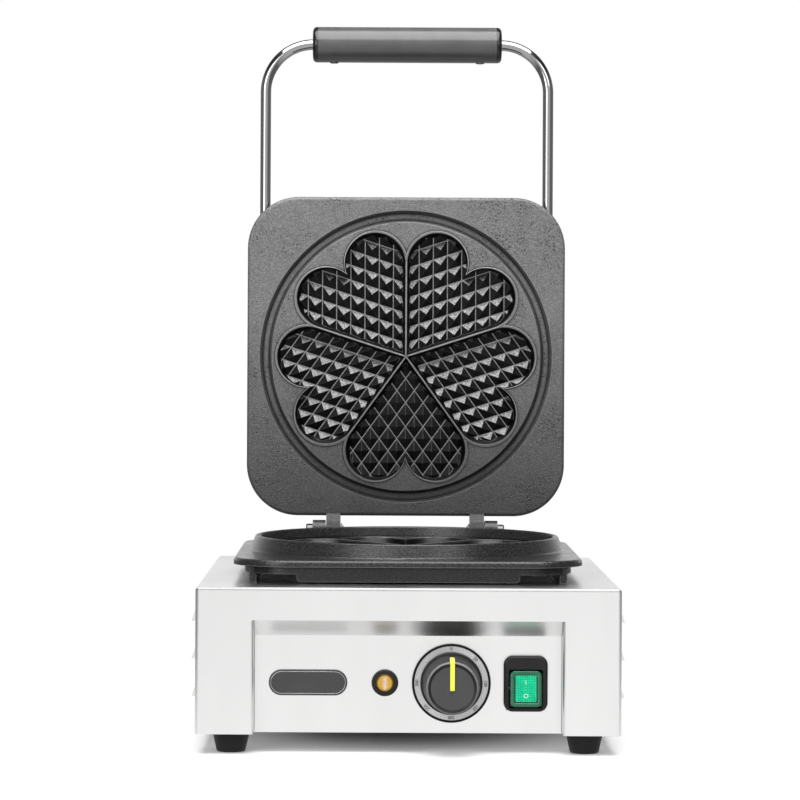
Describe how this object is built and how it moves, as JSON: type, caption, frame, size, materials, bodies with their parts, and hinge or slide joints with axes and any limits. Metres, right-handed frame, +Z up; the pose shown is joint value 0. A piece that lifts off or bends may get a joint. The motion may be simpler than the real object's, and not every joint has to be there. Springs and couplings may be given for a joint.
{
  "type": "heart waffle maker",
  "caption": "Countertop waffle maker with heart-shaped wells in two cast plates, a hinged lid with a rod handle, and a dial, lamp and rocker switch on a set-back panel.",
  "frame": {"origin": "on the table, under the middle of the overall box, lid open", "axes": "+X to the user's right, +Y to the back where the hinge is, +Z up"},
  "size_m": [0.2864, 0.3414, 0.5068],
  "materials": {
    "stainless": "satin sheet",
    "iron": "seasoned casting, fine grain",
    "chrome": "polished",
    "grip": "satin phenolic",
    "knob": "satin moulding",
    "pointer": "semi-gloss",
    "rubber": "matte",
    "dial": "satin with dark rim",
    "badge": "dark satin face with a pale line, bare",
    "black": "semi-gloss",
    "lens": "clear amber",
    "rocker": "translucent green",
    "steel": "zinc-plated",
    "sheath": "dull element sheath",
    "wool": "mineral wool",
    "ceramic": "white insulating block",
    "copper": "drawn tube"
  },
  "bodies": {
    "base": {"base_shell": "stainless", "control_panel": "stainless", "rear_panel": "stainless", "bottom_cover": "stainless", "rear_panel_screws": "steel", "bottom_cover_screws": "steel", "rubber_feet": "rubber", "foot_bolts": "steel", "foot_nuts": "steel", "lower_plate": "iron", "plate_bolts": "steel", "lower_element": "sheath", "lower_clamp": "steel", "lower_clamp_bolt": "steel", "heat_shield": "steel", "hinge_pins": "steel", "pin_clips": "steel", "dial_ring": "dial", "thermostat_body": "steel", "sensor_bulb": "copper", "lamp_bezel": "black", "lamp_lens": "lens", "lamp_body": "black", "lamp_nut": "black", "switch_housing": "black", "badge_plate": "badge", "mains_gland": "black", "mains_gland_nut": "black", "lead_gland": "black", "lead_gland_nut": "black", "terminal_block": "ceramic"},
    "lid": {"upper_plate": "iron", "lid_cover": "stainless", "lid_cover_screws": "steel", "handle_rod": "chrome", "handle_grip": "grip", "grip_screws": "steel", "handle_set_screws": "steel", "upper_element": "sheath", "upper_clamp": "steel", "upper_clamp_bolt": "steel", "insulation_pad": "wool", "lid_gland": "black", "lid_gland_nut": "black"},
    "knob": {"control_knob": "knob", "knob_pointer": "pointer", "thermostat_shaft": "steel"},
    "rocker": {"switch_rocker": "rocker"}
  },
  "joints": [
    {"name": "lid_hinge", "type": "hinge", "parent": "base", "child": "lid", "pos_m": [0, 0.12137, 0.1321], "axis": [1, 0, 0], "range_deg": [0, 90]},
    {"name": "knob_turn", "type": "hinge", "parent": "base", "child": "knob", "pos_m": [0.0285, -0.13743, 0.0466], "axis": [0, 1, 0], "range_deg": [0, 270]},
    {"name": "rocker_tilt", "type": "hinge", "parent": "base", "child": "rocker", "pos_m": [0.0775, -0.13843, 0.0434], "axis": [1, 0, 0], "range_deg": [0, 10]}
  ]
}
